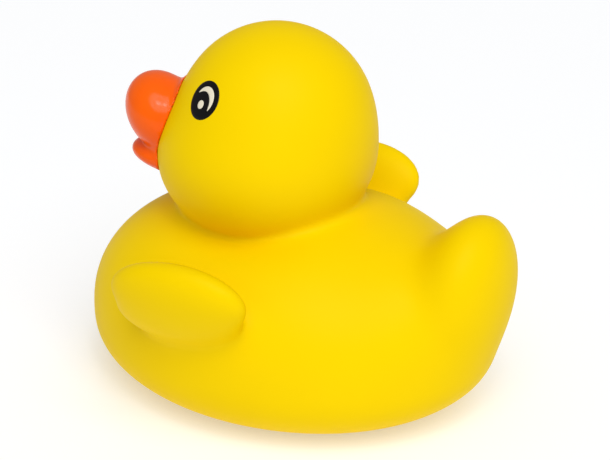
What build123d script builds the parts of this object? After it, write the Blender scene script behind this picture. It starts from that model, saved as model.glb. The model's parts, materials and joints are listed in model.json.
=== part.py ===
from build123d import *
import os
from math import atan, cos, pi, sin, sqrt

# Floating chlorine dispenser in the shape of a bath duck, in millimetres.
# The duck stands on its flat base with +Z up, faces -Y, and has its left side at +X.
# A round well opens in the base.  A quarter-turn cap closes the well and carries
# the tablet basket, and a dial under the cap sets how much water passes through it.
# The origin is on the floor under the middle of the duck's length.

# ---------------------------------------------------------------- duck skin
WALL = 2.8                  # soft vinyl skin
BODY_HALF_WIDTH = 102.0
BODY_HALF_LENGTH = 127.8
BODY_WAIST_Z = 42.2         # height of the widest line
BODY_RISE = 79.3            # waist to the top of the back
BODY_DROP = 50.2            # waist to where the belly would end if it weren't cut flat
BACK_POWER = 2.23           # 2 is an ellipse, more is squarer
BELLY_POWER = 2.42
BASE_EDGE_RADIUS = 12.0
BASE_TRIM = 0.05            # planed off the underside, so that the duck rests on a true plane
BODY_SEAM_ANGLE = 200.0     # where the turned surface closes, clear of the head's and wings' seams

HEAD_RADIUS = 58.3
HEAD_Y = -8.7
HEAD_Z = 164.3
HEAD_TURN = 18.0            # degrees to the duck's left
CHEEK_RADII = (57.9, 63.9, 57.9)
CHEEK_OFFSET = (0, -6.3, -22.3)

TAIL_CENTRE = (0, 118.0, 92.0)
TAIL_RADII = (37.0, 23.4, 39.5)
RUMP_CENTRE = (0, 92.0, 62.0)
RUMP_RADII = (56.0, 44.0, 42.0)

WING_CENTRE = (108.1, -8.6, 94.2)
WING_RADII = (12.8, 42.8, 24.0)
WING_TURN = (5.2, 23.0, 2.3)          # degrees about X, Y and Z
UNDERWING_CENTRE = (102.0, -13.0, 82.0)
UNDERWING_RADII = (12.5, 40.0, 20.0)

# ---------------------------------------------------------------- beak
BILL_CENTRE = (0, -40.4, 8.5)         # root of the upper bill, from the head's centre, along the face
BILL_RADII = (33.9, 19.0, 22.6)
FLARE_CENTRE = (0, -68.3, 1.1)        # the upper bill's upturned front
FLARE_RADII = (23.1, 20.0, 26.8)
FLARE_TILT = (34.4, 0, 0)
LOWER_BILL_CENTRE = (0, -53.7, -24.5)
LOWER_BILL_RADII = (30.7, 34.5, 9.5)
LOWER_BILL_TILT = (-7.8, 0, 0)
BEAK_SEAT_GAP = 0.1
SPIGOT_RADIUS = 8.0
SPIGOT_DROP = 12.5                    # below the head's centre
SPIGOT_REACH = 40.0                   # head's axis to the spigot's inner end
SPIGOT_EMBED = 6.0                    # past the middle of the bill's front
LOCK_RING_WIDTH = 7.0
LOCK_RING_THICKNESS = 3.0
PUSH_GAP = 0.05

# ---------------------------------------------------------------- well and tablets
TABLET_RADIUS = 38.1                  # a 3 inch tablet
TABLET_THICKNESS = 25.4
TABLETS = 3
TABLET_GAP = 1.1
BASKET_WALL = 1.5
BASKET_GAP = 0.7
WELL_WALL = 2.2
WELL_TOP_THICKNESS = 2.5
COLLAR_WALL = 5.0
FLANGE_WIDTH = 10.6
FLANGE_THICKNESS = 3.0
GASKET_THICKNESS = 1.2
CLAMP_THICKNESS = 3.5
CLAMP_Z = 7.5                         # underside of the clamp ring and of the collar
LIP_GAP = 0.4
RECESS_GAP = 1.0
COLLAR_HEIGHT = 14.5

BASKET_IN = TABLET_RADIUS + TABLET_GAP
BASKET_OUT = BASKET_IN + BASKET_WALL
WELL_IN = BASKET_OUT + BASKET_GAP
WELL_OUT = WELL_IN + WELL_WALL
COLLAR_OUT = WELL_IN + COLLAR_WALL
LIP_HOLE = COLLAR_OUT + LIP_GAP
FLANGE_OUT = COLLAR_OUT + FLANGE_WIDTH
CLAMP_OUT = FLANGE_OUT + 0.5
RECESS_RADIUS = CLAMP_OUT + RECESS_GAP
LIP_Z = CLAMP_Z + CLAMP_THICKNESS
GASKET_Z = LIP_Z + WALL
FLANGE_Z = GASKET_Z + GASKET_THICKNESS
BALLAST_Z = FLANGE_Z + FLANGE_THICKNESS

# ---------------------------------------------------------------- clamp screws and ballast
SCREWS = 8
SCREW_CIRCLE = LIP_HOLE + 5.5
SCREW_RADIUS = 2.0
SCREW_HOLE_GAP = 0.2
THREAD_GAP = 0.02
SCREW_HEAD_RADIUS = 3.5
SCREW_HEAD_HEIGHT = 2.4
SCREW_END_GAP = 1.5
DRIVE_WIDTH = 1.0
DRIVE_SPAN = 3.8
DRIVE_DEPTH = 1.3
BALLAST_HEIGHT = 9.0
BALLAST_SEGMENTS = 4
BALLAST_GAP_DEG = 6.0

# ---------------------------------------------------------------- quarter-turn cap
CAP_TURN = 90.0                       # degrees from locked to free
CAP_DROP = 8.0                        # how far the lugs carry the cap down in that turn
LUGS = 3
LUG_HEIGHT = 3.5
LUG_REACH = 2.8
LUG_SPAN = 8.0                        # degrees
LUG_GAP = 0.25
LUG_END_GAP_DEG = 1.0
LUG_ROOT = 1.0                        # how far a lug and its groove start inside the plug's wall
LUG_Z = CLAMP_Z + 5.75                # middle of the lug when locked
PLUG_GAP = 0.4
PLUG_WALL = 3.0
PLUG_TOP_Z = LUG_Z + LUG_HEIGHT / 2 + 0.6
RIM_OUT = COLLAR_OUT - 0.4
RIM_TOP_GAP = 0.3
RIM_BOTTOM_Z = 3.2
RIM_SCALLOPS = 24
SCALLOP_RADIUS = 2.2
CAP_DISC_Z = 6.2
CAP_DISC_THICKNESS = 3.0

# ---------------------------------------------------------------- flow dial and its pivot
WINDOWS = 4
WINDOW_IN = 13.0
WINDOW_OUT = 34.0
CAP_WINDOW_DEG = 40.0
DIAL_WINDOW_DEG = 42.0
DIAL_TURN = 45.0                      # degrees from open to shut
DIAL_RADIUS = 38.3
DIAL_THICKNESS = 2.3
DIAL_GAP = 0.3
DIAL_GRIP_WIDTH = 5.0
DIAL_GRIP_HEIGHT = 2.0
DIAL_RIM_GAP = 0.8
STOP_WIDTH_DEG = 6.0
STOP_DEPTH = 2.6
STOP_GAP_DEG = 0.5
PIVOT_RADIUS = 2.5
PIVOT_GAP = 0.06
PIVOT_HEAD_RADIUS = 6.0
PIVOT_HEAD_HEIGHT = 1.4
WASHER_THICKNESS = 0.5
WASHER_GAP = 0.1
NUT_RADIUS = 4.6
NUT_HEIGHT = 4.0
NUT_POCKET_RADIUS = 5.6
HUB_RADIUS = 8.0

# ---------------------------------------------------------------- basket
BASKET_HUB_GAP = 0.3
GRID_Z = PLUG_TOP_Z + 0.4
GRID_THICKNESS = 2.6
GRID_SLOTS = 12
GRID_SLOT_WIDTH = 3.6
BASKET_SLOTS = 12
BASKET_SLOT_WIDTH = 6.0
BASKET_SLOT_EDGE = 6.0
KEY_WIDTH = 2.4
KEY_GAP = 0.3
KEY_Z = 45.0
BASKET_HEAD_ROOM = 3.0
WELL_HEAD_ROOM = 2.5

TABLET_Z = GRID_Z + GRID_THICKNESS
BASKET_TOP_Z = TABLET_Z + TABLETS * TABLET_THICKNESS + BASKET_HEAD_ROOM
WELL_TOP_Z = BASKET_TOP_Z + WELL_HEAD_ROOM

# ---------------------------------------------------------------- vent
BARB_RADIUS = 3.0
BARB_LENGTH = 10.0
VENT_BORE = 2.0
HOSE_GAP = 0.05
HOSE_WALL = 1.5
HOSE_END_GAP = 0.3
CLIP_WIDTH = 4.0
CLIP_WALL = 1.0


def ring(outer, inner, bottom, height):
    """An upright tube about the Z axis."""
    tube = Cylinder(outer, height, align=(Align.CENTER, Align.CENTER, Align.MIN))
    tube -= Cylinder(inner, height, align=(Align.CENTER, Align.CENTER, Align.MIN))
    return Pos(0, 0, bottom) * tube


def disc(radius, bottom, height):
    """An upright solid cylinder about the Z axis."""
    return Pos(0, 0, bottom) * Cylinder(radius, height, align=(Align.CENTER, Align.CENTER, Align.MIN))


def block(size, centre, angle=0.0):
    """A box whose centre is given before it is turned about Z."""
    return Rot(0, 0, angle) * Pos(*centre) * Box(*size)


def sector(inner, outer, span, middle, bottom, height):
    """A slice of an upright tube, span degrees wide about the middle angle."""
    first = middle - span / 2
    start = (cos(first * pi / 180), sin(first * pi / 180))
    end = (cos((first + span) * pi / 180), sin((first + span) * pi / 180))
    outline = CenterArc((0, 0), outer, first, span)
    outline += CenterArc((0, 0), inner, first, span)
    outline += Line((inner * start[0], inner * start[1]), (outer * start[0], outer * start[1]))
    outline += Line((inner * end[0], inner * end[1]), (outer * end[0], outer * end[1]))
    return Pos(0, 0, bottom) * extrude(make_face(outline), height)


def around(count, start=0.0):
    """The angles of evenly spaced places on a circle."""
    return [start + 360 / count * index for index in range(count)]


def lobe(centre, radii, turn=(0, 0, 0)):
    """An ellipsoid."""
    return Pos(*centre) * Rot(*turn) * scale(Sphere(1), by=radii)


def shrunk(radii, wall):
    return tuple(radius - wall for radius in radii)


def in_head(shape):
    """Place a shape that is drawn about the head's centre with the face towards -Y."""
    return Pos(0, HEAD_Y, HEAD_Z) * Rot(0, 0, HEAD_TURN) * shape


def at_screws(shape):
    """A copy of a shape at each place on the clamp screws' circle."""
    return [Rot(0, 0, angle) * Pos(SCREW_CIRCLE, 0, 0) * shape for angle in around(SCREWS, 180 / SCREWS)]


def screw_holes(bottom, height):
    """Clearance holes for the clamp screws through a layer."""
    return at_screws(disc(SCREW_RADIUS + SCREW_HOLE_GAP, bottom - 1, height + 2))


# ---------------------------------------------------------------- duck skin

def body_radius(height, wall):
    """Half width of the body at a height below the waist."""
    share = (BODY_WAIST_Z - height) / (BODY_DROP - wall)
    return (BODY_HALF_WIDTH - wall) * (1 - share ** BELLY_POWER) ** (1 / BELLY_POWER)


def quarter(power, steps, last):
    """Points of a rounded quarter outline from its widest place to the given angle."""
    angles = [last * index / steps for index in range(steps + 1)]
    return [(cos(angle) ** (2 / power), sin(angle) ** (2 / power)) for angle in angles]


def body_solid(wall, base):
    """The egg-shaped body, cut flat at the base's height, drawn in by the given wall."""
    half = BODY_HALF_WIDTH - wall
    rise = BODY_RISE - wall
    drop = BODY_DROP - wall
    flat = body_radius(base, wall)
    share = (BODY_WAIST_Z - base) / drop
    last = atan((share / (flat / half)) ** (BELLY_POWER / 2))
    back = [(half * x, BODY_WAIST_Z + rise * z) for x, z in quarter(BACK_POWER, 8, pi / 2)]
    back[-1] = (0, BODY_WAIST_Z + rise)
    belly = [(half * x, BODY_WAIST_Z - drop * z) for x, z in quarter(BELLY_POWER, 6, last)]
    belly[-1] = (flat, base)
    slope = (flat / half / share) ** (BELLY_POWER - 1) * drop / half
    outline = Spline(back, tangents=[(0, 1), (-1, 0)])
    outline += Spline(belly, tangents=[(0, -1), (-1, -slope)])
    outline += Line((flat, base), (0, base))
    outline += Line((0, base), (0, BODY_WAIST_Z + rise))
    half_section = make_face(Plane.XZ * outline)
    edge = half_section.vertices().sort_by(Axis.Z)[:2].sort_by(Axis.X)[-1]
    half_section = fillet(edge, BASE_EDGE_RADIUS)
    round_body = revolve(Rot(0, 0, BODY_SEAM_ANGLE) * half_section, Axis.Z)
    return scale(round_body, by=(1, (BODY_HALF_LENGTH - wall) / half, 1))


def skull_solid(wall):
    """The head: a ball with fuller cheeks below it."""
    ball = Sphere(HEAD_RADIUS - wall)
    return in_head(ball + lobe(CHEEK_OFFSET, shrunk(CHEEK_RADII, wall)))


def duck_lobes(wall):
    """The rounded shapes that make the duck without its beak, drawn in by the given wall."""
    wing = lobe(WING_CENTRE, shrunk(WING_RADII, wall), WING_TURN)
    underwing = lobe(UNDERWING_CENTRE, shrunk(UNDERWING_RADII, wall), WING_TURN)
    return [
        skull_solid(wall),
        lobe(RUMP_CENTRE, shrunk(RUMP_RADII, wall)),
        lobe(TAIL_CENTRE, shrunk(TAIL_RADII, wall)),
        wing,
        underwing,
        mirror(wing, Plane.YZ),
        mirror(underwing, Plane.YZ),
    ]


def spigot_cylinder(radius, start, end):
    """A cylinder on the beak's axis between two distances from the head's axis."""
    rod = Cylinder(radius, end - start, align=(Align.CENTER, Align.CENTER, Align.MIN))
    return in_head(Pos(0, -start, -SPIGOT_DROP) * Rot(90, 0, 0) * rod)


def duck_shell():
    """The hollow vinyl duck with a recess, a lip and a round hole in its base."""
    shell = body_solid(0, -BASE_TRIM) - disc(BODY_HALF_LENGTH, -2 * BASE_TRIM, 2 * BASE_TRIM)
    for shape in duck_lobes(0):
        shell += shape
    shell -= body_solid(WALL, WALL) - disc(RECESS_RADIUS + WALL, 0, LIP_Z + WALL)
    for shape in duck_lobes(WALL):
        shell -= shape
    shell -= disc(RECESS_RADIUS, 0, LIP_Z)
    shell -= disc(LIP_HOLE, 0, GASKET_Z + 1)
    shell -= screw_holes(LIP_Z, WALL)
    return shell - spigot_cylinder(SPIGOT_RADIUS + PUSH_GAP, SPIGOT_REACH, HEAD_RADIUS + 20)


# ---------------------------------------------------------------- beak and vent

def beak():
    """Two bills in one moulding, seated on the face, with a hollow spigot behind."""
    bills = lobe(BILL_CENTRE, BILL_RADII) + lobe(FLARE_CENTRE, FLARE_RADII, FLARE_TILT)
    bills = in_head(bills + lobe(LOWER_BILL_CENTRE, LOWER_BILL_RADII, LOWER_BILL_TILT))
    bills -= skull_solid(-BEAK_SEAT_GAP)
    spigot = spigot_cylinder(SPIGOT_RADIUS, SPIGOT_REACH, -FLARE_CENTRE[1] + SPIGOT_EMBED)
    barb = spigot_cylinder(BARB_RADIUS, SPIGOT_REACH - BARB_LENGTH, SPIGOT_REACH)
    bore = spigot_cylinder(VENT_BORE, SPIGOT_REACH - BARB_LENGTH, -FLARE_CENTRE[1] + 2 * FLARE_RADII[1])
    return bills + spigot + barb - bore


def beak_lock_ring():
    """A push-on ring behind the skin that holds the beak's spigot."""
    inner = SPIGOT_RADIUS + PUSH_GAP
    back = skin_depth(SPIGOT_RADIUS + LOCK_RING_WIDTH) - LOCK_RING_THICKNESS
    plate = spigot_cylinder(SPIGOT_RADIUS + LOCK_RING_WIDTH, back, HEAD_RADIUS + 10)
    plate -= spigot_cylinder(inner, back, HEAD_RADIUS + 10)
    return plate & skull_solid(WALL + BEAK_SEAT_GAP)


def skin_depth(offset):
    """Distance of the cheek's inner face from the head's axis, to one side of the spigot."""
    side, depth, height = shrunk(CHEEK_RADII, WALL)
    lift = (-SPIGOT_DROP - CHEEK_OFFSET[2] + offset) / height
    return depth * sqrt(1 - (offset / side) ** 2 - lift ** 2) - CHEEK_OFFSET[1]


def vent_hose():
    """A soft hose from the top of the well to the beak's spigot."""
    reach = SPIGOT_REACH - HOSE_END_GAP
    turn = HEAD_TURN * pi / 180
    start = (0, HEAD_Y, WELL_TOP_Z + WELL_TOP_THICKNESS + HOSE_END_GAP)
    corner = (0, HEAD_Y, HEAD_Z - SPIGOT_DROP)
    end = (reach * sin(turn), HEAD_Y - reach * cos(turn), HEAD_Z - SPIGOT_DROP)
    bend = 0.45 * reach
    route = FilletPolyline(start, corner, end, radius=bend)
    outer = BARB_RADIUS + HOSE_GAP + HOSE_WALL
    mouth = Plane(origin=start, z_dir=(0, 0, 1))
    return sweep(mouth * Circle(outer), route) - sweep(mouth * Circle(BARB_RADIUS + HOSE_GAP), route)


def hose_clips():
    """A band round each end of the hose."""
    inner = BARB_RADIUS + HOSE_GAP + HOSE_WALL + PUSH_GAP
    outer = inner + CLIP_WALL
    low = WELL_TOP_Z + WELL_TOP_THICKNESS + BARB_LENGTH / 2 - CLIP_WIDTH / 2
    far = SPIGOT_REACH - BARB_LENGTH / 2 - CLIP_WIDTH / 2
    near_well = Pos(0, HEAD_Y, 0) * ring(outer, inner, low, CLIP_WIDTH)
    near_beak = spigot_cylinder(outer, far, far + CLIP_WIDTH)
    near_beak -= spigot_cylinder(inner, far, far + CLIP_WIDTH)
    return [near_well, near_beak]


# ---------------------------------------------------------------- well, clamp and ballast

def lug_path(clearance, first, last):
    """A stretch of the lugs' screw path between two angles, where 0 is a locked lug's middle."""
    pitch = CAP_DROP * 360 / CAP_TURN
    height = pitch * (last - first) / 360
    path = Pos(0, 0, LUG_Z + pitch * first / 360) * Rot(0, 0, first) * Helix(pitch, height, WELL_IN - PLUG_GAP)
    start = path @ 0
    outward = Vector(start.X, start.Y, 0).normalized()
    reach = LUG_REACH + PLUG_GAP + clearance
    section = Plane(origin=start, x_dir=outward, z_dir=path % 0)
    profile = section * Pos((reach - LUG_ROOT) / 2, 0) * Rectangle(reach + LUG_ROOT, LUG_HEIGHT + 2 * clearance)
    return sweep(profile, path, is_frenet=True)


def well_housing():
    """The moulded cup that holds the basket, with its collar, flange and vent nipple."""
    cup = ring(WELL_OUT, WELL_IN, FLANGE_Z, WELL_TOP_Z + WELL_TOP_THICKNESS - FLANGE_Z)
    cup += disc(WELL_OUT, WELL_TOP_Z, WELL_TOP_THICKNESS)
    cup += ring(COLLAR_OUT, WELL_IN, CLAMP_Z, COLLAR_HEIGHT)
    cup += ring(FLANGE_OUT, WELL_IN, FLANGE_Z, FLANGE_THICKNESS)
    key_in = BASKET_IN + KEY_GAP
    for angle in (0, 180):
        middle = ((key_in + WELL_IN + 0.5) / 2, 0, (KEY_Z + WELL_TOP_Z + 0.5) / 2)
        cup += block((WELL_IN + 0.5 - key_in, KEY_WIDTH, WELL_TOP_Z + 0.5 - KEY_Z), middle, angle)
    cup += Pos(0, HEAD_Y, 0) * disc(BARB_RADIUS, WELL_TOP_Z + 1, WELL_TOP_THICKNESS - 1 + BARB_LENGTH)
    cup -= Pos(0, HEAD_Y, 0) * disc(VENT_BORE, WELL_TOP_Z - 1, WELL_TOP_THICKNESS + BARB_LENGTH + 2)
    groove = lug_path(LUG_GAP, -CAP_TURN - LUG_SPAN, LUG_SPAN / 2 + LUG_END_GAP_DEG)
    for angle in around(LUGS):
        cup -= Rot(0, 0, angle) * groove
    return cup - screw_holes(FLANGE_Z, FLANGE_THICKNESS)


def clamped_ring(outer, bottom, height):
    """A flat ring with the clamp screws' clearance holes."""
    return ring(outer, LIP_HOLE, bottom, height) - screw_holes(bottom, height)


def clamp_screws():
    """Pan head screws with a cross drive, driven up through the clamp ring."""
    length = BALLAST_Z + BALLAST_HEIGHT - SCREW_END_GAP - CLAMP_Z
    head = disc(SCREW_HEAD_RADIUS, CLAMP_Z - SCREW_HEAD_HEIGHT, SCREW_HEAD_HEIGHT)
    head = fillet(head.edges().sort_by(Axis.Z)[0], SCREW_HEAD_HEIGHT / 3)
    screw = head + disc(SCREW_RADIUS, CLAMP_Z, length)
    slot_z = CLAMP_Z - SCREW_HEAD_HEIGHT + DRIVE_DEPTH / 2
    for angle in (0, 90):
        screw -= block((DRIVE_SPAN, DRIVE_WIDTH, DRIVE_DEPTH), (0, 0, slot_z), angle)
    return at_screws(screw)


def ballast_weights():
    """Cast segments that weigh the base down and take the clamp screws' threads."""
    span = 360 / BALLAST_SEGMENTS - BALLAST_GAP_DEG
    tapped = at_screws(disc(SCREW_RADIUS + THREAD_GAP, BALLAST_Z - 1, BALLAST_HEIGHT + 2))
    weight = sector(LIP_HOLE, FLANGE_OUT, span, 180 / BALLAST_SEGMENTS, BALLAST_Z, BALLAST_HEIGHT)
    return [Rot(0, 0, angle) * weight - tapped for angle in around(BALLAST_SEGMENTS)]


# ---------------------------------------------------------------- cap, dial and basket

def windows(span, bottom, height):
    """Fan-shaped water windows."""
    return [sector(WINDOW_IN, WINDOW_OUT, span, middle, bottom, height) for middle in around(WINDOWS, 45)]


def twist_cap():
    """The quarter-turn cap, with its lugs, grip rim, windows and dial stop."""
    plug_out = WELL_IN - PLUG_GAP
    rim_top = CLAMP_Z - RIM_TOP_GAP
    cap = disc(plug_out, CAP_DISC_Z, CAP_DISC_THICKNESS)
    cap += ring(plug_out, plug_out - PLUG_WALL, CAP_DISC_Z, PLUG_TOP_Z - CAP_DISC_Z)
    cap += ring(RIM_OUT, DIAL_RADIUS + DIAL_RIM_GAP, RIM_BOTTOM_Z, rim_top - RIM_BOTTOM_Z)
    lug = lug_path(0, -LUG_SPAN / 2, LUG_SPAN / 2)
    for angle in around(LUGS):
        cap += Rot(0, 0, angle) * lug
    for angle in around(RIM_SCALLOPS):
        cap -= Rot(0, 0, angle) * Pos(RIM_OUT + SCALLOP_RADIUS / 2, 0, 0) * disc(
            SCALLOP_RADIUS, RIM_BOTTOM_Z - 1, rim_top - RIM_BOTTOM_Z + 2)
    for window in windows(CAP_WINDOW_DEG, CAP_DISC_Z - 1, CAP_DISC_THICKNESS + 2):
        cap -= window
    stop_in = DIAL_RADIUS - STOP_DEPTH + DIAL_GAP
    cap += sector(stop_in, DIAL_RADIUS + DIAL_RIM_GAP + 1, STOP_WIDTH_DEG, 0, dial_bottom() + DIAL_GAP,
                  CAP_DISC_Z + 1 - dial_bottom() - DIAL_GAP)
    return cap - disc(PIVOT_RADIUS + PIVOT_GAP, 0, GRID_Z)


def dial_bottom():
    return CAP_DISC_Z - DIAL_GAP - DIAL_THICKNESS


def flow_dial():
    """The rotary shutter under the cap, with two grip bars."""
    bottom = dial_bottom()
    dial = disc(DIAL_RADIUS, bottom, DIAL_THICKNESS)
    for angle in (0, 180):
        bar = ((DIAL_GRIP_HEIGHT + 1) / 2 + bottom - DIAL_GRIP_HEIGHT)
        dial += block((WINDOW_OUT - WINDOW_IN + 2, DIAL_GRIP_WIDTH, DIAL_GRIP_HEIGHT + 1),
                      ((WINDOW_IN + WINDOW_OUT) / 2, 0, bar), angle)
    for window in windows(DIAL_WINDOW_DEG, bottom - 1, DIAL_THICKNESS + 2):
        dial -= window
    notch = DIAL_TURN + STOP_WIDTH_DEG + 2 * STOP_GAP_DEG
    middle = -DIAL_TURN / 2
    dial -= sector(DIAL_RADIUS - STOP_DEPTH, DIAL_RADIUS + 1, notch, middle, bottom - 1, DIAL_THICKNESS + 2)
    return dial - disc(PIVOT_RADIUS + PIVOT_GAP, 0, GRID_Z)


def wave_washer():
    """The thin spring washer that keeps the dial where it is set."""
    top = dial_bottom() - WASHER_GAP
    return ring(PIVOT_HEAD_RADIUS - 0.3, PIVOT_RADIUS + PIVOT_GAP, top - WASHER_THICKNESS, WASHER_THICKNESS)


def nut_seat_z():
    """Height of the pocket floor in the basket's hub."""
    return GRID_Z + GRID_THICKNESS - NUT_HEIGHT - 0.9


def pivot_screw():
    """The shouldered screw that carries the dial, the cap and the basket."""
    head_top = dial_bottom() - 2 * WASHER_GAP - WASHER_THICKNESS
    screw = disc(PIVOT_HEAD_RADIUS, head_top - PIVOT_HEAD_HEIGHT, PIVOT_HEAD_HEIGHT)
    screw += disc(PIVOT_RADIUS, head_top, nut_seat_z() + NUT_HEIGHT + WASHER_GAP - head_top)
    slot_z = head_top - PIVOT_HEAD_HEIGHT
    return screw - block((2 * PIVOT_HEAD_RADIUS - 3, 1.2, 1.4), (0, 0, slot_z))


def pivot_nut():
    """The hexagon nut in the basket's hub."""
    bottom = nut_seat_z() + WASHER_GAP
    nut = Pos(0, 0, bottom) * extrude(RegularPolygon(NUT_RADIUS, 6), NUT_HEIGHT)
    return nut - disc(PIVOT_RADIUS, bottom - 1, NUT_HEIGHT + 2)


def tablet_basket():
    """The open-topped cage for the tablets, slotted for water."""
    wall_height = BASKET_TOP_Z - GRID_Z
    basket = ring(BASKET_OUT, BASKET_IN, GRID_Z, wall_height)
    basket += disc(BASKET_OUT, GRID_Z, GRID_THICKNESS)
    hub_bottom = CAP_DISC_Z + CAP_DISC_THICKNESS + BASKET_HUB_GAP
    basket += disc(HUB_RADIUS, hub_bottom, TABLET_Z - hub_bottom)
    basket -= disc(NUT_POCKET_RADIUS, nut_seat_z(), GRID_THICKNESS + NUT_HEIGHT + 2)
    basket -= disc(PIVOT_RADIUS + PIVOT_GAP, 0, GRID_Z + GRID_THICKNESS)
    for angle in around(GRID_SLOTS, 15):
        middle = ((HUB_RADIUS + BASKET_IN) / 2, 0, GRID_Z + GRID_THICKNESS / 2)
        size = (BASKET_IN - HUB_RADIUS - 5, GRID_SLOT_WIDTH, GRID_THICKNESS + 2)
        basket -= block(size, middle, angle)
    low = TABLET_Z + BASKET_SLOT_EDGE
    high = BASKET_TOP_Z - BASKET_SLOT_EDGE
    for angle in around(BASKET_SLOTS, 15):
        size = (4 * BASKET_WALL, BASKET_SLOT_WIDTH, high - low)
        basket -= block(size, (BASKET_IN + BASKET_WALL / 2, 0, (low + high) / 2), angle)
    for angle in (0, 180):
        slot_low = KEY_Z - CAP_DROP - KEY_GAP
        size = (4 * BASKET_WALL, KEY_WIDTH + 2 * KEY_GAP, BASKET_TOP_Z + 1 - slot_low)
        basket -= block(size, (BASKET_IN + BASKET_WALL / 2, 0, (slot_low + BASKET_TOP_Z + 1) / 2), angle)
    return basket


# ---------------------------------------------------------------- output

def middle_y():
    """Middle of the duck's length, measured from the middle of its body."""
    tail_end = TAIL_CENTRE[1] + TAIL_RADII[1]
    return (tail_end - BODY_HALF_LENGTH) / 2


pieces = {
    "duck_shell": duck_shell(),
    "beak": beak(),
    "beak_lock_ring": beak_lock_ring(),
    "vent_hose": vent_hose(),
    "hose_clips": hose_clips(),
    "well_housing": well_housing(),
    "housing_gasket": clamped_ring(FLANGE_OUT, GASKET_Z, GASKET_THICKNESS),
    "clamp_ring": clamped_ring(CLAMP_OUT, CLAMP_Z, CLAMP_THICKNESS),
    "clamp_screws": clamp_screws(),
    "ballast_weights": ballast_weights(),
    "tablet_basket": tablet_basket(),
    "pivot_screw": pivot_screw(),
    "pivot_nut": pivot_nut(),
    "twist_cap": twist_cap(),
    "flow_dial": flow_dial(),
    "wave_washer": wave_washer(),
}

os.makedirs("parts", exist_ok=True)
for name, piece in pieces.items():
    solids = piece if isinstance(piece, list) else [piece]
    placed = [Pos(0, -middle_y(), 0) * solid for solid in solids]
    export_step(placed[0] if len(placed) == 1 else Compound(placed), f"parts/{name}.step")
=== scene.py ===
"""The looks of a floating chlorine dispenser shaped as a bath duck, built around its CAD model.

The duck's skin and beak are smooth blends of a few rounded lobes.  Geometry nodes hold that rule as
distance fields, and the eyes are thin prints laid on the finished skin.
"""
import json
import math

import bmesh
import bpy
from bpy.props import FloatProperty, FloatVectorProperty, PointerProperty
from mathutils import Matrix, Vector
from mathutils.bvhtree import BVHTree


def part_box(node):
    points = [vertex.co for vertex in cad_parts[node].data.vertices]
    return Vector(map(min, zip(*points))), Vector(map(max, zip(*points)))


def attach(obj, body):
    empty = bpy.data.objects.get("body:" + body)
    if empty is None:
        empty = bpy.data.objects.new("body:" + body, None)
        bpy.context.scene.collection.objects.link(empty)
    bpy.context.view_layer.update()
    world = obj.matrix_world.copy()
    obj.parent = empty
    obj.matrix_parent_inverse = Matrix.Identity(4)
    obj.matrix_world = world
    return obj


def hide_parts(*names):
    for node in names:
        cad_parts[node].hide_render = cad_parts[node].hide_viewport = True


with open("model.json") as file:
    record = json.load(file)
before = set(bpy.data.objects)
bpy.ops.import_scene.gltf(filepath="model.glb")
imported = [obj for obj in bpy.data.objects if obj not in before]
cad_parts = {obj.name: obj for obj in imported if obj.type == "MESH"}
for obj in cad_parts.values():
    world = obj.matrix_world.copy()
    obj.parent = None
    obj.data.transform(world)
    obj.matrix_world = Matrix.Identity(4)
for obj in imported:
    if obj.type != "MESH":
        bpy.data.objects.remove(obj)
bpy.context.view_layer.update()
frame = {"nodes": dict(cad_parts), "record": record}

bl_info = {
    "name": "Duck Chlorine Dispenser",
    "version": (1, 0, 0),
    "blender": (4, 5, 0),
    "location": "3D View > Sidebar > Duck Dispenser",
    "description": "Builds the skin, beak, eye prints, finishes and studio of a floating dispenser",
    "category": "Object",
}

MILLIMETRE = 0.001
BODY = "duck"

SHELL_LOW, SHELL_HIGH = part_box("duck_shell")
BEAK_LOW, BEAK_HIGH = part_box("beak")
WELL_LOW, WELL_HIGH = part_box("well_housing")
WELL_Y = (WELL_LOW.y + WELL_HIGH.y) / 2         # the well stands in the middle of the body
LIP_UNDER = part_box("clamp_ring")[1].z           # the vinyl lip is held between clamp ring and gasket
LIP_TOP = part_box("housing_gasket")[0].z

GRID_MARGIN = 2                 # empty cells round a shape
BEAK_ROOM = 4 * MILLIMETRE      # further room round the beak, whose blends bulge past the CAD's
MESHED_WALL = 1.45              # a wall is meshed this much thicker than it settles
SETTLE_STEPS = 2
SETTLE_SHARE = 0.9              # how much of its gap to the true surface a point loses in one step
PROBE_SHARE = 0.25              # part of a cell over which the field's slope is measured
EYE_REACH = 0.2                 # the eye prints are dropped on the skin from this far out
MERGE_DISTANCE = 1e-6


# ------------------------------------------------------------------ sizes and colours

def length(name, description, millimetres):
    return FloatProperty(name=name, description=description, default=millimetres * MILLIMETRE,
                         unit="LENGTH", precision=5)


def place(name, description, millimetres):
    return FloatVectorProperty(name=name, description=description, unit="LENGTH", precision=5,
                               default=[value * MILLIMETRE for value in millimetres])


def turn(name, description, degrees):
    return FloatVectorProperty(name=name, description=description, subtype="EULER",
                               default=[math.radians(value) for value in degrees])


def angle(name, description, degrees):
    return FloatProperty(name=name, description=description, default=math.radians(degrees), unit="ROTATION")


def number(name, description, value):
    return FloatProperty(name=name, description=description, default=value)


def colour(name, description, value):
    return FloatVectorProperty(name=name, description=description, subtype="COLOR", size=4,
                               min=0, max=1, default=(*value, 1))


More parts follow.
